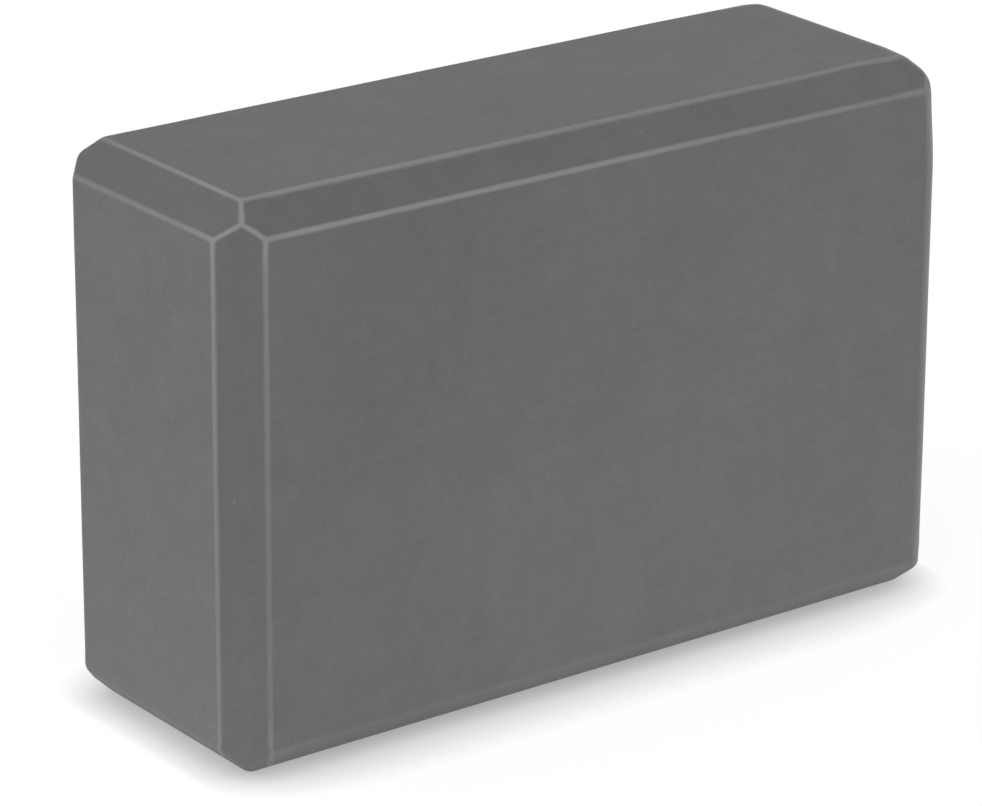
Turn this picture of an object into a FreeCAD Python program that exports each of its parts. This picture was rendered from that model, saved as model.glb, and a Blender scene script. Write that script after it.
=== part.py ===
import FreeCAD, Part
import os
import Sketcher

# Yoga block: one solid of closed-cell foam, bevelled at 45 degrees along all twelve edges.
# Millimetres, +Z up. The block stands on its long narrow side. The origin is the middle of that side,
# X runs along the length and Y through the width.

doc = FreeCAD.newDocument("yoga_block")

# Driving sizes
sizes = doc.addObject("Spreadsheet::Sheet", "sizes")
driving_sizes = [
    ("block_length", "230"),
    ("block_width", "80"),
    ("block_height", "150"),
    # How far each bevel reaches over the two faces that it joins
    ("bevel_reach", "8.6"),
    # Radius that softens the borders of the bevels
    ("edge_round", "1.8"),
    # How far a cutting shape stands out past the face that it cuts
    ("cut_overrun", "2"),
]
for row, (alias, value) in enumerate(driving_sizes, start=1):
    sizes.set(f"A{row}", alias)
    sizes.set(f"B{row}", value)
    sizes.setAlias(f"B{row}", alias)
doc.recompute()

START = 1
END = 2
ORIGIN_POINT = (-1, 1)

# A cutting triangle's leg runs past the block at both of its ends
BEVEL_LEG = "sizes.bevel_reach + 2 * sizes.cut_overrun"


def sketch_on(body, role, name):
    """A sketch of the body on the origin plane with the given role."""
    sketch = body.newObject("Sketcher::SketchObject", name)
    plane = next(item for item in body.Origin.OriginFeatures if item.Role == role)
    sketch.AttachmentSupport = [(plane, "")]
    sketch.MapMode = "FlatFace"
    return sketch


def measure(expression):
    """The value of an expression of the driving sizes."""
    return float(sizes.evalExpression(expression))


def drive(sketch, kind, ends, expression):
    """Adds a dimension to the sketch that follows an expression of the driving sizes."""
    index = sketch.addConstraint(Sketcher.Constraint(kind, *ends, measure(expression)))
    sketch.setExpression(f"Constraints[{index}]", expression)


def closed_outline(sketch, points):
    """Draws straight lines through the points and back to the first, joined at their ends."""
    corners = [FreeCAD.Vector(across, up, 0) for across, up in points]
    lines = []
    for first, second in zip(corners, corners[1:] + corners[:1]):
        lines.append(sketch.addGeometry(Part.LineSegment(first, second)))
    for line, following in zip(lines, lines[1:] + lines[:1]):
        sketch.addConstraint(Sketcher.Constraint("Coincident", line, END, following, START))
    return lines


def side_outline(sketch):
    """The narrow side that the block stands on: a rectangle centred on the origin."""
    half_length = sizes.block_length / 2
    half_width = sizes.block_width / 2
    near, right, far, left = closed_outline(
        sketch,
        [
            (-half_length, -half_width),
            (half_length, -half_width),
            (half_length, half_width),
            (-half_length, half_width),
        ],
    )
    for line in (near, far):
        sketch.addConstraint(Sketcher.Constraint("Horizontal", line))
    for line in (right, left):
        sketch.addConstraint(Sketcher.Constraint("Vertical", line))
    sketch.addConstraint(Sketcher.Constraint("Symmetric", near, START, far, START, *ORIGIN_POINT))
    drive(sketch, "DistanceX", (near, START, near, END), "sizes.block_length")
    drive(sketch, "DistanceY", (right, START, right, END), "sizes.block_width")


def corner_triangle(sketch, across, up):
    """A right-angled triangle whose long side is the bevel at one corner of the block's outline.

    across and up each hold the place of a face and the sign of the way out of the block there.
    """
    corner_across, corner_up = [f"{place} + {outward} * sizes.cut_overrun" for place, outward in (across, up)]
    leg_across, leg_up = [f"{-outward} * ({BEVEL_LEG})" for _, outward in (across, up)]
    corner = (measure(corner_across), measure(corner_up))
    across_tip = (corner[0] + measure(leg_across), corner[1])
    up_tip = (corner[0], corner[1] + measure(leg_up))
    level, _, upright = closed_outline(sketch, [corner, across_tip, up_tip])
    sketch.addConstraint(Sketcher.Constraint("Horizontal", level))
    sketch.addConstraint(Sketcher.Constraint("Vertical", upright))
    drive(sketch, "DistanceX", (*ORIGIN_POINT, level, START), corner_across)
    drive(sketch, "DistanceY", (*ORIGIN_POINT, level, START), corner_up)
    drive(sketch, "DistanceX", (level, START, level, END), leg_across)
    drive(sketch, "DistanceY", (upright, END, upright, START), leg_up)


def bevel_four_edges(body, role, name, across_places, up_places):
    """Cuts the bevels off the four edges that stand square to one origin plane."""
    sketch = sketch_on(body, role, f"{name}_outline")
    for across in across_places:
        for up in up_places:
            corner_triangle(sketch, across, up)
    pocket = body.newObject("PartDesign::Pocket", name)
    pocket.Profile = sketch
    pocket.Type = "ThroughAll"
    pocket.SideType = "Symmetric"
    doc.recompute()
    return pocket


# Places of the block's outer faces, each with the sign of the way out of the block
ENDS = (("-sizes.block_length / 2", -1), ("sizes.block_length / 2", 1))
BROAD_FACES = (("-sizes.block_width / 2", -1), ("sizes.block_width / 2", 1))
BASE_AND_TOP = (("0", -1), ("sizes.block_height", 1))

# The sawn blank
foam_block = doc.addObject("PartDesign::Body", "foam_block")
foam_block.Label = "foam_block"
blank_outline = sketch_on(foam_block, "XY_Plane", "blank_outline")
side_outline(blank_outline)
blank = foam_block.newObject("PartDesign::Pad", "blank")
blank.Profile = blank_outline
blank.setExpression("Length", "sizes.block_height")
doc.recompute()

# Bevels along the height, the width and the length, planed in three sets of four
bevel_four_edges(foam_block, "XY_Plane", "upright_bevels", ENDS, BROAD_FACES)
bevel_four_edges(foam_block, "XZ_Plane", "cross_bevels", ENDS, BASE_AND_TOP)
last_bevels = bevel_four_edges(foam_block, "YZ_Plane", "long_bevels", BROAD_FACES, BASE_AND_TOP)

# Softened borders between the faces and the bevels
softened_edges = foam_block.newObject("PartDesign::Fillet", "softened_edges")
softened_edges.Base = (last_bevels, ["Edge1"])
softened_edges.UseAllEdges = True
softened_edges.setExpression("Radius", "sizes.edge_round")
doc.recompute()

# Every feature has to be sound before anything is written
for item in doc.Objects:
    if "Invalid" in item.State or "Error" in item.State:
        raise RuntimeError(f"{item.Label} is not sound: {item.State}")
if foam_block.Shape.isNull() or not foam_block.Shape.isValid():
    raise RuntimeError("foam_block has no valid shape")

os.makedirs("parts", exist_ok=True)
foam_block.Shape.exportStep("parts/foam_block.step")
print(f"foam_block: {len(foam_block.Shape.Solids)} solid, {foam_block.Shape.Volume:.0f} cubic mm")
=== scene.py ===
"""Looks of a grey foam yoga block: one solid of closed-cell foam, bevelled along its twelve edges.

Metres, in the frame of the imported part: +X along the length, +Y through the width and +Z up. The block
stands on its long narrow side, with the origin at the middle of that side.
"""

import logging
import math
from dataclasses import dataclass, field
from enum import Enum
from typing import Iterable, Union

import bpy
from mathutils import Matrix, Vector


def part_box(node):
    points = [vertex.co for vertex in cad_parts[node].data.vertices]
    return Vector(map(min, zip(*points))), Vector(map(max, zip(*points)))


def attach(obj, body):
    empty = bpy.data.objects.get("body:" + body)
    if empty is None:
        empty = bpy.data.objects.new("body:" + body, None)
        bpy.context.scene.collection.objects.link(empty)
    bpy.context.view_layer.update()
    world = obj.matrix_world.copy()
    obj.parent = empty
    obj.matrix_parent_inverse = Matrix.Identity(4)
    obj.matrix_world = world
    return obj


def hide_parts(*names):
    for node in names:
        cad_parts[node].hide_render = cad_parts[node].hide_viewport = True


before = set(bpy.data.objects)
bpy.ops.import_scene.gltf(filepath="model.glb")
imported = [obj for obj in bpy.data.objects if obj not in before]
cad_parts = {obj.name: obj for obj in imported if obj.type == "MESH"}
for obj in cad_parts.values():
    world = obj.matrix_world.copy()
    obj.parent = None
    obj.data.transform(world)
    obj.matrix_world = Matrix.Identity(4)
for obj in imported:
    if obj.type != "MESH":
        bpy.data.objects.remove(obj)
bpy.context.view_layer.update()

MM = 0.001
NODE = "foam_block"
BODY = "root"
PLACE = "sawn_place"
SEED_STRIDE = (31.7, 17.3, 23.9)
# How far a round between a face and a bevel runs on past their border, as a share of its radius
ROUND_SHARE = math.tan(math.pi / 8)
# How much an upright bevel widens along the length and across the width, for each length in under the foot
FLARE_ALONG = 0.75
FLARE_ACROSS = 1.33
# How far off a crease between two bevels a place lies, for each length by which its larger insets differ
CREASE_SLOPE = math.sqrt(2.0 / 3.0)
# Corners of the block, by the signs of the ways out to them, and the ways in from the first
UPPER_FRONT_LEFT = (-1.0, -1.0, 1.0)
WAYS_IN = (1.0, 1.0, -1.0)
WORN_CORNER = (1.0, -1.0, 1.0)
CLOUD_MEAN = 0.5

log = logging.getLogger("yoga_block")


class Side(Enum):
    """The kinds of surface on the block: the broad faces, the narrow faces and the planed bevels."""

    BROAD = "broad_face_painted_shade"
    NARROW = "narrow_face"
    BEVEL = "planed_bevel"


Term = Union["Field", float, Vector, tuple]


class Field:
    """A number or a vector that a node tree works out all over a surface, with plain arithmetic on it."""

    def __init__(self, socket: bpy.types.NodeSocket) -> None:
        """Wraps the socket that gives the values."""
        self.socket = socket
        self.tree = socket.id_data

    @staticmethod
    def is_vector(term: Term) -> bool:
        """Whether a term holds three numbers."""
        if isinstance(term, Field):
            return term.socket.type in ("VECTOR", "RGBA")
        return isinstance(term, (Vector, tuple))

    def join(self, operation: str, *terms: Term, result: int = 0) -> "Field":
        """Adds a maths node that works on this field and the terms.

        Args:
            operation: name of the maths node's operation.
            terms: the operation's further inputs.
            result: number of the node's output that is used.

        Returns:
            The operation's result.
        """
        together = (self, *terms)
        of_vectors = any(Field.is_vector(term) for term in together)
        node = self.tree.nodes.new("ShaderNodeVectorMath" if of_vectors else "ShaderNodeMath")
        node.operation = operation
        for socket, term in zip(node.inputs, together):
            feed(socket, term)
        return Field(node.outputs[result])

    def __add__(self, other: Term) -> "Field":
        """Sum."""
        return self.join("ADD", other)

    def __sub__(self, other: Term) -> "Field":
        """Difference."""
        return self.join("SUBTRACT", other)

    def __mul__(self, other: Term) -> "Field":
        """Product, number by number."""
        return self.join("MULTIPLY", other)

    def __truediv__(self, other: Term) -> "Field":
        """Quotient, number by number."""
        return self.join("DIVIDE", other)

    def least(self, *others: Term) -> "Field":
        """The least of this field and the others."""
        found = self
        for other in others:
            found = found.join("MINIMUM", other)
        return found

    def most(self, *others: Term) -> "Field":
        """The greatest of this field and the others."""
        found = self
        for other in others:
            found = found.join("MAXIMUM", other)
        return found

    def size(self) -> "Field":
        """The field without its sign."""
        return self.join("ABSOLUTE")

    def sign(self) -> "Field":
        """The sign alone, as -1, 0 or 1."""
        return self.join("SIGN")

    def unit(self) -> "Field":
        """A vector of the same direction and length 1."""
        return self.join("NORMALIZE")

    def below(self, other: Term) -> "Field":
        """1 where this number is less than the other, and 0 elsewhere."""
        return self.join("LESS_THAN", other)

    def rest(self) -> "Field":
        """What is missing from this share to the whole."""
        return self * -1.0 + 1.0

    def length(self) -> "Field":
        """The length of a vector."""
        return self.join("LENGTH", result=1)

    def hypotenuse(self, other: "Field") -> "Field":
        """The long side of a right-angled triangle whose short sides are this number and the other."""
        return (self * self + other * other).join("SQRT")

    def blend(self, other: Term, share: "Field") -> "Field":
        """This field where the share is 0, running to the other where it is 1."""
        return self - (self - other) * share

    def parts(self) -> list["Field"]:
        """The three numbers of a vector."""
        node = self.tree.nodes.new("ShaderNodeSeparateXYZ")
        feed(node.inputs[0], self)
        return [Field(socket) for socket in node.outputs]

    def ramp(self, start: Term, end: Term) -> "Field":
        """A smooth rise from 0 at start to 1 at end."""
        node = self.tree.nodes.new("ShaderNodeMapRange")
        node.interpolation_type = "SMOOTHSTEP"
        feed(node.inputs["Value"], self)
        feed(node.inputs["From Min"], start)
        feed(node.inputs["From Max"], end)
        return Field(node.outputs["Result"])


def feed(socket: bpy.types.NodeSocket, term: Term) -> None:
    """Links a field to an input, or sets the input's own value.

    Args:
        socket: the input.
        term: a field of the same tree, a number or a vector.
    """
    if isinstance(term, Field):
        socket.id_data.links.new(term.socket, socket)
    elif socket.type == "VECTOR" and not Field.is_vector(term):
        socket.default_value = (term, term, term)
    else:
        socket.default_value = term


def vector_of(parts: Iterable[Field]) -> Field:
    """A vector made of three numbers of one tree."""
    parts = list(parts)
    node = parts[0].tree.nodes.new("ShaderNodeCombineXYZ")
    for socket, part in zip(node.inputs, parts):
        feed(socket, part)
    return Field(node.outputs[0])


def cloud(place: Field, grain_size: Term, seed: Term, detail: float = 2.0, rough: float = 0.5) -> Field:
    """Soft cloudy noise from 0 to 1.

    Args:
        place: where on the block.
        grain_size: width of the clouds.
        seed: picks one of many patterns.
        detail: how many finer layers are added.
        rough: how strong each finer layer is, as a share of the one before it.

    Returns:
        The noise, 0.5 on average.
    """
    shift = seed * SEED_STRIDE if isinstance(seed, Field) else tuple(seed * step for step in SEED_STRIDE)
    node = place.tree.nodes.new("ShaderNodeTexNoise")
    feed(node.inputs["Vector"], place / grain_size + shift)
    node.inputs["Scale"].default_value = 1.0
    node.inputs["Detail"].default_value = detail
    node.inputs["Roughness"].default_value = rough
    return Field(node.outputs[0])


def swing(place: Field, grain_size: Term, seed: Term, detail: float = 2.0, rough: float = 0.5) -> Field:
    """Soft cloudy noise from -1 to 1.

    Args:
        place: where on the block.
        grain_size: width of the clouds.
        seed: picks one of many patterns.
        detail: how many finer layers are added.
        rough: how strong each finer layer is, as a share of the one before it.

    Returns:
        The noise, 0 on average.
    """
    return (cloud(place, grain_size, seed, detail, rough) - CLOUD_MEAN) / CLOUD_MEAN


def sorted_parts(inset: Field) -> tuple[Field, Field, Field]:
    """The three numbers of a vector from the least to the greatest."""
    x, y, z = inset.parts()
    low = x.least(y, z)
    high = x.most(y, z)
    return low, x + y + z - low - high, high


def foot_flare(x: Field, y: Field, place: Field) -> tuple[Field, Field]:
    """The insets from the ends and from the broad faces, as the upright bevels count them at the foot.

    Args:
        x: inset from the nearer end.
        y: inset from the nearer broad face.
        place: a place from the middle of the block.

    Returns:
        Both insets, less what the upright bevels widen by over the bevels at the foot. At the right end they
        don't widen, and stop where the bevels meet.
    """
    at_left = place.parts()[0].below(0.0)
    along = at_left * (FLARE_ALONG + 1.0) - 1.0
    across = at_left * (FLARE_ACROSS + 1.0) - 1.0
    return x - y * along, y - x * across


class Group:
    """A node tree with named inputs and outputs, shared by whatever uses it."""

    def __init__(self, name: str, kind: str, inputs: dict[str, str], outputs: dict[str, str]) -> None:
        """Makes the tree with its sockets.

        Args:
            name: the tree's name.
            kind: ShaderNodeTree or GeometryNodeTree.
            inputs: socket kinds by name.
            outputs: socket kinds by name.
        """
        self.tree = bpy.data.node_groups.new(name, kind)
        self.identifiers: dict[str, str] = {}
        for names, way in ((inputs, "INPUT"), (outputs, "OUTPUT")):
            for label, sort in names.items():
                socket = self.tree.interface.new_socket(label, in_out=way, socket_type=f"NodeSocket{sort}")
                self.identifiers[label] = socket.identifier
        self._start = self.tree.nodes.new("NodeGroupInput")
        self._end = self.tree.nodes.new("NodeGroupOutput")

    def __getitem__(self, label: str) -> Field:
        """The named input."""
        return Field(self._start.outputs[label])

    def __setitem__(self, label: str, term: Field) -> None:
        """Joins a field to the named output."""
        feed(self._end.inputs[label], term)

    def place_in(self, tree: bpy.types.NodeTree, **terms: Term) -> dict[str, Field]:
        """Adds the group to a material.

        Args:
            tree: the material's node tree.
            terms: the inputs by name, with _ for each space.

        Returns:
            The group's outputs by name.
        """
        node = tree.nodes.new("ShaderNodeGroup")
        node.node_tree = self.tree
        for label, term in terms.items():
            feed(node.inputs[label.replace("_", " ")], term)
        return {socket.name: Field(socket) for socket in node.outputs}


@dataclass(frozen=True)
class EdgeLine:
    """The lighter line along every softened edge: partly burnished foam, partly painted highlight on the
    rounds.

    The painted highlight makes it strongest around the upper front left corner and on the borders along the
    top, and each border that meets there has its own strength. At the right end it spreads, and runs into a
    soft band of painted highlight up the bevels. Along the foot there is none, and the upright lines at the
    left flare out over the bevels there.
    """

    width: float = 1.6 * MM
    ends_at: float = 1.6
    full_at: float = 0.4
    joint: float = 0.9 * MM
    waver_size: float = 9 * MM
    waver: float = 0.18
    waver_seed: float = 11.0
    patch_size: float = 16 * MM
    patch_depth: float = 0.2
    patch_seed: float = 5.0
    # Painted highlight: the line fades away from the upper front left corner
    fade: tuple[float, float, float] = (0.8, 2.6, 1.5)
    fade_reach: float = 170 * MM
    faded: float = 0.58
    # Painted highlight: the borders along the top are brighter than the upright ones
    front_by_top: float = 1.15
    top_by_front: float = 1.0
    end_by_top: float = 0.9
    top_by_end: float = 1.2
    end_by_upright: float = 0.86
    front_by_upright: float = 0.58
    corner_run: float = 12 * MM
    foot_height: tuple[float, float] = (3 * MM, 0.0)
    widened_on_top: float = 0.3
    spread: float = 1.0
    spread_run: float = 30 * MM
    stray: float = 2.0 * MM
    stray_run: tuple[float, float] = (50 * MM, 5 * MM)
    # Painted highlight: a soft band up the bevels at the right end
    band: float = 0.32
    highlight_band_on_face: float = 1.8 * MM
    highlight_band_on_bevel: tuple[float, float] = (4.5 * MM, 2.0 * MM)

    def group(self) -> Group:
        """Builds the line's node group.

        It reads how far in from the block's outer planes a place lies. Sorted, the two smaller insets are 0
        and the bevel's reach on a border between a face and a bevel, and the two larger ones are alike where
        two bevels meet.

        Returns:
            The group, whose output is the line's share of the colour.
        """
        inputs = {"Place": "Vector", "Half Size": "Vector", "Bevel Reach": "Float"}
        group = Group("foam_edge_line", "ShaderNodeTree", inputs, {"Line": "Float"})
        place, half, reach = group["Place"], group["Half Size"], group["Bevel Reach"]
        inset = half - place.size()
        from_right = (half - place).parts()[0]
        above_floor = (half + place).parts()[2]
        at_foot = (above_floor - reach).ramp(*self.foot_height)
        nearest = self._nearest(place, inset, from_right, reach, at_foot)
        x, y, z = inset.parts()
        half_width = (from_right.ramp(self.spread_run, 0.0) * self.spread + 1.0) * (self.width / 2)
        on_top_border = z.below(x.least(y)) * (x - y).ramp(0.0, self.corner_run)
        half_width = half_width * (on_top_border * self.widened_on_top + 1.0)
        waver = swing(place, self.waver_size, self.waver_seed) * half_width * self.waver
        line = (nearest + waver).ramp(half_width * self.ends_at, half_width * self.full_at)
        patches = swing(place, self.patch_size, self.patch_seed) * self.patch_depth + 1.0
        line = line * self._strength(place, half, inset, at_foot) * patches
        # Painted highlight: a soft band up the right end's upright bevels, beside their borders with the
        # faces
        band = from_right.ramp(reach + self.highlight_band_on_face, reach)
        band = band * y.ramp(*self.highlight_band_on_bevel)
        band = band * (z - reach).ramp(-self.highlight_band_on_face, self.highlight_band_on_face)
        group["Line"] = line.most(band * self.band)
        return group

    def _nearest(self, place: Field, inset: Field, from_right: Field, reach: Field, at_foot: Field) -> Field:
        """How far the nearest line is.

        Args:
            place: a place from the middle of the block.
            inset: how far in from the block's outer planes.
            from_right: how far from the right end.
            reach: the bevel's reach.
            at_foot: 1 along the foot, where only the upright lines run on.

        Returns:
            The distance.
        """
        x, y, z = inset.parts()
        low, mid, high = sorted_parts(inset)
        strayed = from_right.ramp(*self.stray_run) * z.below(x.least(y)) * self.stray
        onto_face = mid - reach - strayed
        from_border = onto_face.hypotenuse(low)
        from_crease = ((high - mid) * CREASE_SLOPE).hypotenuse(onto_face.most(0.0))
        off_x, off_y = (flared - reach for flared in foot_flare(x, y, place))
        from_front_upright = off_x.hypotenuse((y - reach).most(0.0))
        from_end_upright = off_y.hypotenuse((x - reach).most(0.0))
        nearest = from_border.join("SMOOTH_MIN", from_crease, self.joint)
        return nearest.blend(from_front_upright.least(from_end_upright), at_foot)

    def _strength(self, place: Field, half: Field, inset: Field, at_foot: Field) -> Field:
        """How strong the line is, by border and by how far from the upper front left corner it is: painted
        highlight, brightest on the borders along the top and near that corner.

        Args:
            place: a place from the middle of the block.
            half: half of the block's size.
            inset: how far in from the block's outer planes.
            at_foot: 1 along the foot.

        Returns:
            The strength.
        """
        x, y, z = inset.parts()
        away = ((place - half * UPPER_FRONT_LEFT) * self.fade).length()
        strength = away.ramp(self.fade_reach, 0.0) * (1.0 - self.faded) + self.faded
        runs = (
            ((x - y.most(z)).ramp(0.0, self.corner_run), y.below(z), self.front_by_top, self.top_by_front),
            ((y - x.most(z)).ramp(0.0, self.corner_run), x.below(z), self.end_by_top, self.top_by_end),
            (
                (z - x.most(y)).ramp(0.0, self.corner_run).most(at_foot),
                x.below(y),
                self.end_by_upright,
                self.front_by_upright,
            ),
        )
        for along, on_first, first, second in runs:
            strength = strength * (along * (on_first * (first - second) + (second - 1.0)) + 1.0)
        return strength


class FoamEffects:
    """Shader node groups for what all the foam surfaces show, each in its own measure."""

    grain_layers = 5.0
    grain_seed_step = 7.0
    cup_share = 0.5
    cluster_width = 2.6
    cluster_seed = 13.0
    mean_height = 0.47
    wobble_width = 1.5
    wobble_depth = 0.5
    wobble_seed = 3.0
    least_girth = 0.3
    soft_rim = 0.5
    crumb_share = 0.55
    patch_edge = (0.40, 0.62)
    patch_seed_step = 1.0

    def __init__(self, line: EdgeLine) -> None:
        """Builds each group once, with the line that marks the edges."""
        self.mottle = self._mottle()
        self.cells = self._cells()
        self.specks = self._specks()
        self.streaks = self._streaks()
        self.edge_line = line.group()

    def _mottle(self) -> Group:
        """Uneven tone of the foam, in broad clouds and in a grain that is as strong at every finer size."""
        inputs = {
            "Place": "Vector",
            "Cloud Size": "Float",
            "Contrast": "Float",
            "Grain Size": "Float",
            "Grain Contrast": "Float",
            "Seed": "Float",
        }
        group = Group("foam_mottle", "ShaderNodeTree", inputs, {"Tone": "Float"})
        place, seed = group["Place"], group["Seed"]
        broad = swing(place, group["Cloud Size"], seed, detail=1.0)
        grain_seed = seed + self.grain_seed_step
        grain = swing(place, group["Grain Size"], grain_seed, detail=self.grain_layers, rough=1.0)
        group["Tone"] = broad * group["Contrast"] + grain * group["Grain Contrast"] + 1.0
        return group

    def _cells(self) -> Group:
        """The cut foam cells: fine cups with thin walls between them."""
        inputs = {"Place": "Vector", "Cell Size": "Float", "Contrast": "Float"}
        group = Group("foam_cells", "ShaderNodeTree", inputs, {"Tone": "Float", "Height": "Float"})
        node = group.tree.nodes.new("ShaderNodeTexVoronoi")
        feed(node.inputs["Vector"], group["Place"] / group["Cell Size"])
        node.inputs["Scale"].default_value = 1.0
        cups = Field(node.outputs["Distance"])
        width = group["Cell Size"] * self.cluster_width
        clusters = cloud(group["Place"], width, self.cluster_seed, detail=1.0)
        height = cups * self.cup_share + clusters * (1.0 - self.cup_share)
        group["Height"] = height
        group["Tone"] = (height - self.mean_height) * group["Contrast"] * 2.0 + 1.0
        return group

    def _specks(self) -> Group:
        """Sparse spots: light crumbs and dark open pores."""
        inputs = {"Place": "Vector", "Spacing": "Float", "Share": "Float", "Spot Size": "Float"}
        group = Group("foam_specks", "ShaderNodeTree", inputs, {"Light": "Float", "Pore": "Float"})
        node = group.tree.nodes.new("ShaderNodeTexVoronoi")
        wobble = swing(group["Place"], group["Spot Size"] * self.wobble_width, self.wobble_seed)
        strayed = group["Place"] + wobble * group["Spot Size"] * self.wobble_depth
        feed(node.inputs["Vector"], strayed / group["Spacing"])
        node.inputs["Scale"].default_value = 1.0
        apart = Field(node.outputs["Distance"]) * group["Spacing"]
        lot, pick, girth = Field(node.outputs["Color"]).parts()
        radius = group["Spot Size"] * (girth * (1.0 - self.least_girth) + self.least_girth)
        spot = (radius - apart).ramp(0.0, radius * self.soft_rim) * lot.below(group["Share"])
        light = pick.below(self.crumb_share)
        group["Light"] = spot * light
        group["Pore"] = spot * light.rest()
        return group

    def _streaks(self) -> Group:
        """Faint bands and scuffs, drawn out along one direction, which come and go in patches."""
        inputs = {
            "Place": "Vector",
            "Stretch": "Vector",
            "Turn": "Float",
            "Patch Size": "Float",
            "Contrast": "Float",
            "Seed": "Float",
        }
        group = Group("foam_streaks", "ShaderNodeTree", inputs, {"Tone": "Float"})
        node = group.tree.nodes.new("ShaderNodeVectorRotate")
        node.rotation_type = "Y_AXIS"
        feed(node.inputs["Vector"], group["Place"])
        feed(node.inputs["Angle"], group["Turn"])
        drawn = Field(node.outputs[0]) / group["Stretch"]
        band = swing(drawn, 1.0, group["Seed"])
        patch_seed = group["Seed"] + self.patch_seed_step
        patch = cloud(group["Place"], group["Patch Size"], patch_seed, detail=1.0).ramp(*self.patch_edge)
        group["Tone"] = band * patch * group["Contrast"] + 1.0
        return group


@dataclass(frozen=True)
class FoamFinish:
    """One kind of surface: its colour and its unevenness, as shares of that colour."""

    name: str
    colour: tuple[float, float, float]
    line_colour: tuple[float, float, float] = (0.262, 0.261, 0.259)
    crumb_colour: tuple[float, float, float] = (0.28, 0.28, 0.275)
    pore_colour: tuple[float, float, float] = (0.095, 0.094, 0.093)
    cloud_size: float = 60 * MM
    cloud_contrast: float = 0.08
    grain_size: float = 14 * MM
    grain_contrast: float = 0.20
    cell_size: float = 0.42 * MM
    cell_contrast: float = 0.08
    cell_depth: float = 0.05 * MM
    speck_spacing: float = 4.0 * MM
    speck_share: float = 0.06
    speck_size: float = 0.34 * MM
    streak_patch: float = 45 * MM
    band_stretch: tuple[float, float, float] = (7 * MM, 22 * MM, 160 * MM)
    band_contrast: float = 0.07
    scuff_turn: float = math.radians(8)
    scuff_stretch: tuple[float, float, float] = (90 * MM, 30 * MM, 3.5 * MM)
    scuff_contrast: float = 0.06
    pore_depth: float = 3.0
    roughness: float = 0.82
    uneven_roughness: float = 0.4
    shine: float = 0.3
    seed: float = 1.0
    band_seed_step: float = 2.0
    scuff_seed_step: float = 4.0

    def material(self, effects: FoamEffects, block: "FoamBlock") -> bpy.types.Material:
        """Makes the finish's material for a block.

        Args:
            effects: the shared node groups.
            block: the block that gives the edge lines their place.

        Returns:
            The material.
        """
        material = bpy.data.materials.new(self.name)
        material.use_nodes = True
        tree = material.node_tree
        shader = tree.nodes["Principled BSDF"]
        reader = tree.nodes.new("ShaderNodeAttribute")
        reader.attribute_name = PLACE
        place = Field(reader.outputs["Vector"])
        mottle = effects.mottle.place_in(
            tree,
            Place=place,
            Cloud_Size=self.cloud_size,
            Contrast=self.cloud_contrast,
            Grain_Size=self.grain_size,
            Grain_Contrast=self.grain_contrast,
            Seed=self.seed,
        )
        cells = effects.cells.place_in(
            tree,
            Place=place,
            Cell_Size=self.cell_size,
            Contrast=self.cell_contrast,
        )
        bands = effects.streaks.place_in(
            tree,
            Place=place,
            Stretch=self.band_stretch,
            Patch_Size=self.streak_patch,
            Contrast=self.band_contrast,
            Seed=self.seed + self.band_seed_step,
        )
        scuffs = effects.streaks.place_in(
            tree,
            Place=place,
            Stretch=self.scuff_stretch,
            Turn=self.scuff_turn,
            Patch_Size=self.streak_patch,
            Contrast=self.scuff_contrast,
            Seed=self.seed + self.scuff_seed_step,
        )
        specks = effects.specks.place_in(
            tree,
            Place=place,
            Spacing=self.speck_spacing,
            Share=self.speck_share,
            Spot_Size=self.speck_size,
        )
        line = effects.edge_line.place_in(
            tree,
            Place=place,
            Half_Size=tuple(block.size / 2),
            Bevel_Reach=block.bevel_reach,
        )
        tone = mottle["Tone"] * cells["Tone"] * bands["Tone"] * scuffs["Tone"]
        colour = (tone * self.colour).blend(self.crumb_colour, specks["Light"])
        colour = colour.blend(self.pore_colour, specks["Pore"])
        # The edge line: lighter foam, with painted highlight by border and towards the upper front left
        # corner
        colour = colour.blend(cells["Tone"] * self.line_colour, line["Line"])
        feed(shader.inputs["Base Color"], colour)
        feed(shader.inputs["Roughness"], (cells["Tone"] - 1.0) * self.uneven_roughness + self.roughness)
        shader.inputs["Specular IOR Level"].default_value = self.shine
        bump = tree.nodes.new("ShaderNodeBump")
        bump.inputs["Distance"].default_value = self.cell_depth
        feed(bump.inputs["Height"], cells["Height"] + specks["Light"] - specks["Pore"] * self.pore_depth)
        feed(shader.inputs["Normal"], Field(bump.outputs["Normal"]))
        return material


FINISHES = {
    # The broad faces: the narrow faces' foam, painted darker and warmer, as painted shade with a painted
    # warm light
    Side.BROAD: FoamFinish("foam_broad_face", colour=(0.1525, 0.147, 0.1412)),
    Side.NARROW: FoamFinish(
        "foam_narrow_face",
        colour=(0.157, 0.157, 0.157),
        cloud_contrast=0.05,
        grain_contrast=0.25,
        cell_contrast=0.11,
        speck_share=0.25,
        band_contrast=0.0,
        scuff_contrast=0.0,
        seed=21.0,
    ),
    Side.BEVEL: FoamFinish(
        "foam_planed_bevel",
        colour=(0.139, 0.139, 0.139),
        cloud_contrast=0.05,
        grain_contrast=0.23,
        cell_contrast=0.06,
        speck_share=0.12,
        band_contrast=0.0,
        scuff_contrast=0.0,
        seed=41.0,
    ),
}


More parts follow.
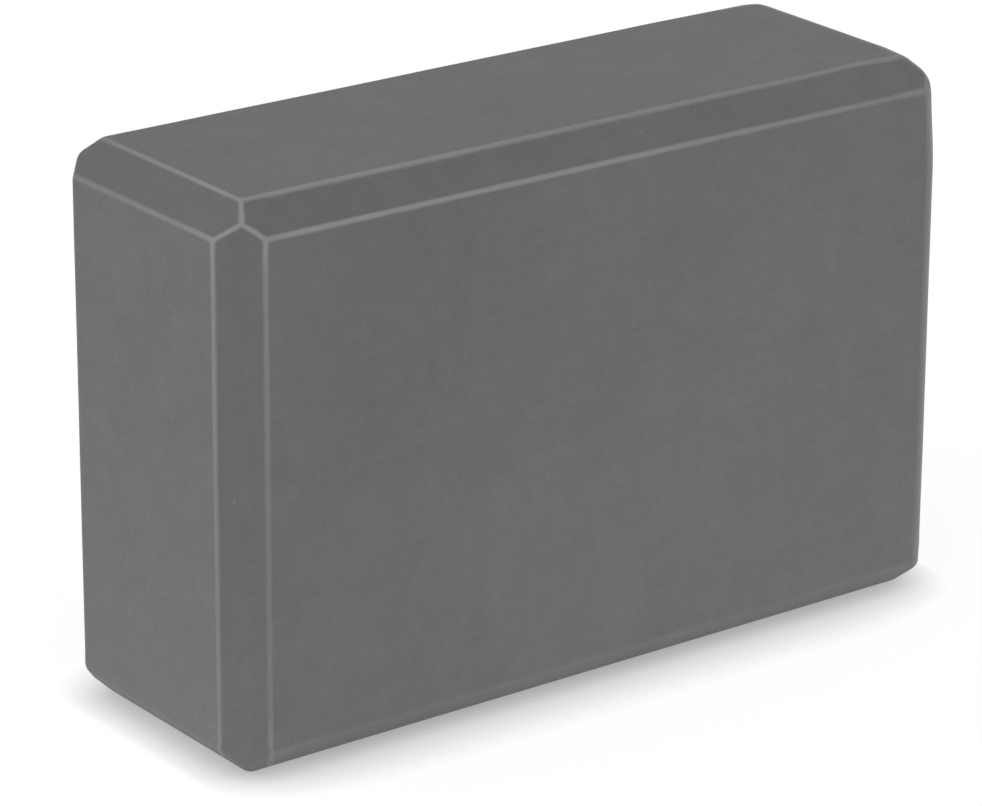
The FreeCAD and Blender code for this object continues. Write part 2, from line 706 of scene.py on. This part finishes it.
@dataclass(frozen=True)
class PlaningDrift:
    """A border or a corner that lies a little beside its true place, where the plane ran off its line.

    It is found by its inset from the upper front left corner, in bevel reaches. The axes along which it runs
    on aren't counted.
    """

    inset: tuple[float, float, float]
    counted: tuple[float, float, float]
    shift: tuple[float, float, float]
    width: float = 8 * MM

    def offset(self, place: Field, half: Field, reach: Field) -> Field:
        """How far the surface has moved.

        Args:
            place: a place from the middle of the block.
            half: half of the block's size.
            reach: the bevel's reach.

        Returns:
            The shift, which is full on the border or corner and fades away around it.
        """
        apart = (place - half * UPPER_FRONT_LEFT) * WAYS_IN - reach * self.inset
        return (apart * self.counted).length().ramp(self.width, 0.0) * self.shift


UPRIGHT = (1.0, 1.0, 0.0)
LENGTHWISE = (0.0, 1.0, 1.0)
AT_POINT = (1.0, 1.0, 1.0)

DRIFTS = (
    PlaningDrift((0.5, 0.5, 0.5), AT_POINT, shift=(0.75 * MM, -0.55 * MM, 0.0), width=10 * MM),
    PlaningDrift((1.0, 0.0, 0.0), UPRIGHT, shift=(0.95 * MM, 0.0, 0.0)),
    PlaningDrift((0.0, 1.0, 0.0), UPRIGHT, shift=(0.0, 0.5 * MM, 0.0)),
    PlaningDrift((0.0, 0.0, 1.0), LENGTHWISE, shift=(0.0, 0.0, 0.6 * MM)),
    PlaningDrift((0.0, 1.0, 0.0), LENGTHWISE, shift=(0.0, 0.6 * MM, 0.0)),
)


@dataclass
class FoamBlock:
    """The block: a box with all its edges planed off at 45 degrees and every border softened by a round.

    The rounds are crisp at the upper front left corner and fuller towards the upper right, the back and the
    foot. The upper right edge is worn down a little, most of all at its front corner.
    """

    low: Vector
    high: Vector
    flat_inset: float
    edge_round: float = 1.8 * MM
    end_round: float = 9.0 * MM
    end_round_span: float = 80 * MM
    end_round_height: tuple[float, float] = (5 * MM, 120 * MM)
    back_round: float = 4.5 * MM
    back_round_span: float = 45 * MM
    foot_round: float = 3.6 * MM
    foot_round_span: float = 26 * MM
    corner_wear: float = 1.2 * MM
    corner_wear_span: tuple[float, float] = (9 * MM, 34 * MM)
    edge_wear: float = 0.6 * MM
    edge_wear_span: tuple[float, float] = (8 * MM, 16 * MM)
    bevel_cells: int = 7
    round_cells: int = 6
    flat_step: float = 1.6 * MM
    sag: float = 0.45 * MM
    sag_width: float = 95 * MM
    ripple: float = 0.07 * MM
    ripple_width: float = 15 * MM
    ripple_seed_step: float = 9.0
    standing_margin: float = 14 * MM
    seed: int = 4
    materials: dict[Side, bpy.types.Material] = field(default_factory=dict)

    @classmethod
    def from_frame(cls, node: str) -> "FoamBlock":
        """Reads the block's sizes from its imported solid.

        Args:
            node: name of the solid.

        Returns:
            A block of that size, whose flat faces start as far in from the sides as the solid's do.
        """
        low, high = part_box(node)
        tolerance = 0.001 * MM
        points = [vertex.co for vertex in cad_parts[node].data.vertices]
        flat_end = max(point.x for point in points if high.z - point.z < tolerance)
        return cls(low, high, flat_inset=high.x - flat_end)

    @property
    def size(self) -> Vector:
        """Overall length, width and height."""
        return self.high - self.low

    @property
    def centre(self) -> Vector:
        """Middle of the block."""
        return (self.high + self.low) / 2

    @property
    def bevel_reach(self) -> float:
        """How far a bevel would reach over each face if its borders were sharp."""
        return self.flat_inset - self.edge_round * ROUND_SHARE

    def cell_counts(self) -> list[int]:
        """How many cells of the mesh run along the length, the width and the height."""
        at_edges = 2 * (self.bevel_cells + self.round_cells)
        return [at_edges + round((side - 2 * self.flat_inset) / self.flat_step) for side in self.size]

    def rounding(self, group: Group, place: Field) -> Field:
        """How large an edge's round is, from the crisp front left to the fuller right end, back and foot.

        Args:
            group: the tree.
            place: a place from the middle of the block.

        Returns:
            The radius there.
        """
        half = group["Size"] * 0.5
        from_right, from_back, _ = (half - place).parts()
        above_floor = (half + place).parts()[2]
        crisp = group["Edge Round"]
        at_end = (group["End Round"] - crisp) * from_right.ramp(self.end_round_span, 0.0)
        at_end = at_end * above_floor.ramp(*self.end_round_height)
        at_back = (group["Back Round"] - crisp) * from_back.ramp(self.back_round_span, 0.0)
        at_foot = (group["Foot Round"] - crisp) * above_floor.ramp(self.foot_round_span, 0.0)
        return crisp + at_end.most(at_back, at_foot)

    def graded(self, group: Group, inset: Field, half: Field, edge_round: Field) -> Field:
        """Spaces the mesh finely over the rounds and widely over the flats.

        Args:
            group: the tree.
            inset: how far in from the box's sides each evenly spaced point lies.
            half: half of the box's size.
            edge_round: radius of the round there.

        Returns:
            The insets in their new spacing.
        """
        flat_inset = group["Bevel Reach"] + edge_round * ROUND_SHARE
        step = inset * group["Cells"] / (half * 2.0)
        bevel, edge = float(self.bevel_cells), float(self.round_cells)
        flat_step = (half - flat_inset) / (group["Cells"] * 0.5 - (bevel + edge))
        on_bevel = step.least(bevel) * (flat_inset - edge_round) / bevel
        on_round = (step - bevel).most(0.0).least(edge) * edge_round / edge
        on_flat = (step - (bevel + edge)).most(0.0) * flat_step
        return on_bevel + on_round + on_flat

    @staticmethod
    def softened(group: Group, inset: Field, edge_round: Field) -> Field:
        """Draws points of a plain box in to the bevelled block.

        The block is a bevelled core with a layer as thick as the edge round all over it, so each point goes
        to the core's nearest point and then out again by that layer.

        Args:
            group: the tree.
            inset: how far in from the box's sides each point of its surface lies.
            edge_round: radius of the round there.

        Returns:
            How far in from the same sides the block's surface lies.
        """
        flat = group["Bevel Reach"] + edge_round * ROUND_SHARE
        reach = flat + edge_round
        low, mid, high = sorted_parts(inset)
        by_bevel = ((reach + mid) * 0.5).least(flat).most(mid)
        on_crease = high.below(by_bevel)
        crest = ((reach + mid + high) / 3.0).most(reach * 0.5).least(flat)
        core_mid = by_bevel.blend(crest, on_crease)
        core_high = high.blend(crest, on_crease)
        core_low = (reach - core_mid).most(edge_round)
        core = []
        for part in inset.parts():
            not_least = low.below(part)
            not_greatest = part.below(high)
            core.append(core_low.blend(core_high.blend(core_mid, not_greatest), not_least))
        core = vector_of(core)
        return core + (inset - core).unit() * edge_round

    def uneven(self, group: Group, place: Field) -> Field:
        """How far the sawn surface lies below its true plane: a slow sag, a small ripple and the wear.

        Args:
            group: the tree.
            place: a place from the middle of the block.

        Returns:
            The depth, which goes to nothing at the side that the block stands on.
        """
        sag = cloud(place, self.sag_width, group["Seed"], detail=1.0) * group["Sag"]
        ripple = cloud(place, self.ripple_width, group["Seed"] + self.ripple_seed_step) * group["Ripple"]
        half = group["Size"] * 0.5
        from_corner = (place - half * WORN_CORNER).length()
        x, _, z = (half - place).parts()
        from_edge = x.hypotenuse(z)
        near, far = self.corner_wear_span
        wear = from_corner.ramp(far, near) * group["Corner Wear"]
        near, far = self.edge_wear_span
        wear = wear.most(from_edge.ramp(far, near) * group["Edge Wear"])
        above = (half + place).parts()[2]
        return (sag + ripple + wear) * above.ramp(0.0, self.standing_margin)

    def tree(self) -> Group:
        """Builds the rule that makes the block's mesh from its sizes."""
        inputs = {
            "Size": "Vector",
            "Centre": "Vector",
            "Cells": "Vector",
            "Bevel Reach": "Float",
            "Edge Round": "Float",
            "End Round": "Float",
            "Back Round": "Float",
            "Foot Round": "Float",
            "Corner Wear": "Float",
            "Edge Wear": "Float",
            "Sag": "Float",
            "Ripple": "Float",
            "Seed": "Float",
        }
        inputs.update({side.value: "Material" for side in Side})
        group = Group("bevelled_block", "GeometryNodeTree", inputs, {"Geometry": "Geometry"})
        nodes = group.tree.nodes
        box = nodes.new("GeometryNodeMeshCube")
        feed(box.inputs["Size"], group["Size"])
        for socket, count in zip(list(box.inputs)[1:], group["Cells"].parts()):
            feed(socket, count + 1.0)
        half = group["Size"] * 0.5
        position = Field(nodes.new("GeometryNodeInputPosition").outputs[0])
        edge_round = self.rounding(group, position)
        inset = self.graded(group, half - position.size(), half, edge_round)
        block = nodes.new("GeometryNodeSetPosition")
        feed(block.inputs["Geometry"], Field(box.outputs["Mesh"]))
        feed(block.inputs["Position"], (half - self.softened(group, inset, edge_round)) * position.sign())
        marked = nodes.new("GeometryNodeStoreNamedAttribute")
        marked.data_type = "FLOAT_VECTOR"
        marked.inputs["Name"].default_value = PLACE
        feed(marked.inputs["Geometry"], Field(block.outputs["Geometry"]))
        feed(marked.inputs["Value"], position)
        worn = nodes.new("GeometryNodeSetPosition")
        normal = Field(nodes.new("GeometryNodeInputNormal").outputs[0])
        feed(worn.inputs["Geometry"], Field(marked.outputs["Geometry"]))
        moved = normal * self.uneven(group, position) * -1.0 + group["Centre"]
        for drift in DRIFTS:
            moved = moved + drift.offset(position, half, group["Bevel Reach"])
        feed(worn.inputs["Offset"], moved)
        smooth = nodes.new("GeometryNodeSetShadeSmooth")
        feed(smooth.inputs["Geometry"], Field(worn.outputs["Geometry"]))
        realized = nodes.new("GeometryNodeRealizeInstances")
        feed(realized.inputs["Geometry"], Field(smooth.outputs["Geometry"]))
        group["Geometry"] = self.coated(group, Field(realized.outputs["Geometry"]), half)
        return group

    def coated(self, group: Group, geometry: Field, half: Field) -> Field:
        """Gives each kind of surface its material, changing over along the middle of the rounds.

        The bevels at the foot are as dull as the faces above them, and take their material, apart from where
        the upright bevels widen out over them.

        Args:
            group: the tree.
            geometry: the finished mesh.
            half: half of the block's size.

        Returns:
            The mesh with its materials.
        """
        nodes = group.tree.nodes
        reader = nodes.new("GeometryNodeInputNamedAttribute")
        reader.data_type = "FLOAT_VECTOR"
        reader.inputs["Name"].default_value = PLACE
        place = Field(reader.outputs[0])
        beside_x, beside_y, _ = (half - place.size()).parts()
        below_top = (half - place).parts()[2]
        above_floor = (half + place).parts()[2]
        reach = group["Bevel Reach"]
        at_foot = above_floor.most(beside_x.least(beside_y)).below(reach)
        flared_x, flared_y = foot_flare(beside_x, beside_y, place)
        along, across = beside_x.blend(flared_x, at_foot), beside_y.blend(flared_y, at_foot)
        _, between, _ = sorted_parts(vector_of((along, across, below_top)))
        chosen = {Side.NARROW: None, Side.BROAD: beside_y.below(reach), Side.BEVEL: between.below(reach)}
        for side, selection in chosen.items():
            coat = nodes.new("GeometryNodeSetMaterial")
            feed(coat.inputs["Geometry"], geometry)
            if selection is not None:
                feed(coat.inputs["Selection"], selection)
            feed(coat.inputs["Material"], group[side.value])
            geometry = Field(coat.outputs["Geometry"])
        return geometry

    def build(self, name: str) -> bpy.types.Object:
        """Makes the block's mesh and dresses it.

        Args:
            name: the piece's name.

        Returns:
            The piece, a plain mesh in its place.
        """
        group = self.tree()
        piece = bpy.data.objects.new(name, bpy.data.meshes.new(name))
        bpy.context.scene.collection.objects.link(piece)
        modifier = piece.modifiers.new("shape", "NODES")
        modifier.node_group = group.tree
        values = {
            "Size": self.size,
            "Centre": self.centre,
            "Cells": Vector(self.cell_counts()),
            "Bevel Reach": self.bevel_reach,
            "Edge Round": self.edge_round,
            "End Round": self.end_round,
            "Back Round": self.back_round,
            "Foot Round": self.foot_round,
            "Corner Wear": self.corner_wear,
            "Edge Wear": self.edge_wear,
            "Sag": self.sag,
            "Ripple": self.ripple,
            "Seed": float(self.seed),
        }
        values.update({side.value: material for side, material in self.materials.items()})
        for label, value in values.items():
            modifier[group.identifiers[label]] = value
        depsgraph = bpy.context.evaluated_depsgraph_get()
        shaped = piece.evaluated_get(depsgraph)
        mesh = bpy.data.meshes.new_from_object(shaped, preserve_all_data_layers=True, depsgraph=depsgraph)
        piece.modifiers.clear()
        piece.data = mesh
        return piece

    def dress(self, effects: FoamEffects) -> None:
        """Makes the material of each kind of surface."""
        for side, finish in FINISHES.items():
            self.materials[side] = finish.material(effects, self)


@dataclass(frozen=True)
class SoftLamp:
    """A square lamp that shines from its whole face."""

    name: str
    power: float
    size: float
    place: tuple[float, float, float]
    aim: tuple[float, float, float]

    def build(self) -> bpy.types.Object:
        """Makes the lamp, turned to what it lights."""
        data = bpy.data.lights.new(self.name, "AREA")
        data.energy = self.power
        data.size = self.size
        lamp = bpy.data.objects.new(self.name, data)
        lamp.location = self.place
        lamp.rotation_euler = (Vector(self.place) - Vector(self.aim)).to_track_quat("Z", "Y").to_euler()
        bpy.context.scene.collection.objects.link(lamp)
        return lamp


@dataclass
class Studio:
    """A white floor that glows, with a painted shade at the block's foot, an even white surround and soft
    lamps.
    """

    floor_half: float = 4.0
    floor_drop: float = 0.02 * MM
    floor_colour: tuple[float, float, float] = (0.12, 0.12, 0.12)
    floor_glow: float = 0.91
    pool_glow: float = 1.0
    outer_glow: float = 0.72
    pool_edge: tuple[float, float] = (0.6, 0.15)
    contact_shown: float = 0.67
    contact_cast: float = 0.45
    contact_reach: float = 19 * MM
    contact_reach_at_ends: float = 9 * MM
    contact_samples: int = 4
    open_ends: tuple[float, float] = (75 * MM, 130 * MM)
    open_share: float = 0.15
    surround: float = 0.33
    key_strength: float = 1.66
    key_angle: float = math.radians(70)
    key_from: Vector = field(default_factory=lambda: Vector((-0.50, -0.16, 0.85)))
    weak_lamps: tuple[SoftLamp, ...] = (
        SoftLamp("front_fill", power=0.36, size=0.3, place=(0.24, -0.42, 0.04), aim=(0.05, 0.0, 0.06)),
        SoftLamp("right_fill", power=1.1, size=0.2, place=(0.62, 0.16, 0.04), aim=(0.1, 0.0, 0.06)),
    )

    def build_floor(self) -> bpy.types.Object:
        """Makes the floor, a white table that glows brightest around the block, where it lights it, with a
        painted shade at the block's foot.

        Beside the ends, which are open to more light, the shade is shorter and a little weaker.

        Returns:
            The floor.
        """
        mesh = bpy.data.meshes.new("floor")
        ways = ((-1, -1), (1, -1), (1, 1), (-1, 1))
        corners = [(self.floor_half * x, self.floor_half * y, -self.floor_drop) for x, y in ways]
        mesh.from_pydata(corners, [], [range(len(corners))])
        material = bpy.data.materials.new("floor")
        material.use_nodes = True
        tree = material.node_tree
        shader = tree.nodes["Principled BSDF"]
        shader.inputs["Base Color"].default_value = (*self.floor_colour, 1.0)
        shader.inputs["Roughness"].default_value = 1.0
        shader.inputs["Specular IOR Level"].default_value = 0.0
        where = Field(tree.nodes.new("ShaderNodeTexCoord").outputs["Object"])
        opened = where.parts()[0].size().ramp(*self.open_ends)
        # Painted shade: the floor's glow is dimmed near the block's foot, by how much of the space around
        # each place the block takes up
        shade = tree.nodes.new("ShaderNodeAmbientOcclusion")
        shade.samples = self.contact_samples
        gain_at_ends = self.contact_reach_at_ends - self.contact_reach
        feed(shade.inputs["Distance"], opened * gain_at_ends + self.contact_reach)
        path = tree.nodes.new("ShaderNodeLightPath")
        seen = Field(path.outputs["Is Camera Ray"])
        depth = seen * (self.contact_shown - self.contact_cast) + self.contact_cast
        covered = Field(shade.outputs["AO"]).rest() * depth * (opened * self.open_share).rest()
        pool = where.length().ramp(*self.pool_edge)
        cast = pool * (self.pool_glow - self.outer_glow) + self.outer_glow
        glow = cast.blend(self.floor_glow, seen) * covered.rest()
        shader.inputs["Emission Color"].default_value = (1.0, 1.0, 1.0, 1.0)
        feed(shader.inputs["Emission Strength"], glow)
        mesh.materials.append(material)
        floor = bpy.data.objects.new("floor", mesh)
        bpy.context.scene.collection.objects.link(floor)
        return floor

    def build_surround(self) -> None:
        """Makes the world: even light, and white where the camera sees it."""
        world = bpy.data.worlds.new("surround")
        world.use_nodes = True
        tree = world.node_tree
        background = tree.nodes["Background"]
        background.inputs["Color"].default_value = (1.0, 1.0, 1.0, 1.0)
        path = tree.nodes.new("ShaderNodeLightPath")
        rays = ("Is Camera Ray", "Is Glossy Ray", "Is Transmission Ray")
        camera, glossy, through = (Field(path.outputs[ray]) for ray in rays)
        seen = camera.most(glossy, through)
        feed(background.inputs["Strength"], seen * (1.0 - self.surround) + self.surround)
        bpy.context.scene.world = world

    def build_key(self) -> bpy.types.Object:
        """Makes the large soft lamp, high at the left."""
        data = bpy.data.lights.new("key", "SUN")
        data.energy = self.key_strength
        data.angle = self.key_angle
        lamp = bpy.data.objects.new("key", data)
        lamp.rotation_euler = self.key_from.to_track_quat("Z", "Y").to_euler()
        bpy.context.scene.collection.objects.link(lamp)
        return lamp

    def build(self) -> None:
        """Makes the floor, the surround and the lamps."""
        self.build_floor()
        self.build_surround()
        self.build_key()
        for lamp in self.weak_lamps:
            lamp.build()
        bpy.context.scene.view_settings.view_transform = "Standard"


@dataclass
class PhotoCamera:
    """The camera of the photograph, found from the block's edges in it."""

    place: Vector = field(default_factory=lambda: Vector((-728.4, -957.6, 514.8)) * MM)
    heading: float = math.radians(36.944)
    tilt: float = math.radians(-20.482)
    roll: float = math.radians(0.325)
    lens: float = 180.58
    sensor: float = 36.0

    def build(self) -> bpy.types.Object:
        """Makes the camera and gives it to the scene."""
        data = bpy.data.cameras.new("photo_camera")
        data.lens = self.lens
        data.sensor_width = self.sensor
        camera = bpy.data.objects.new("photo_camera", data)
        turn = Matrix.Rotation(-self.heading, 4, "Z") @ Matrix.Rotation(math.pi / 2 + self.tilt, 4, "X")
        camera.matrix_world = Matrix.Translation(self.place) @ turn @ Matrix.Rotation(self.roll, 4, "Z")
        bpy.context.scene.collection.objects.link(camera)
        bpy.context.scene.camera = camera
        return camera


def main() -> None:
    """Builds the block, then the studio and the camera."""
    logging.basicConfig(level=logging.INFO, format="%(name)s: %(message)s")
    PhotoCamera().build()
    Studio().build()
    block = FoamBlock.from_frame(NODE)
    block.dress(FoamEffects(EdgeLine()))
    piece = block.build("bevelled_foam_block")
    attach(piece, BODY)
    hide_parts(NODE)
    log.info("%s: %d faces, bevel %.2f mm", piece.name, len(piece.data.polygons), block.bevel_reach / MM)


if __name__ == "__main__":
    main()
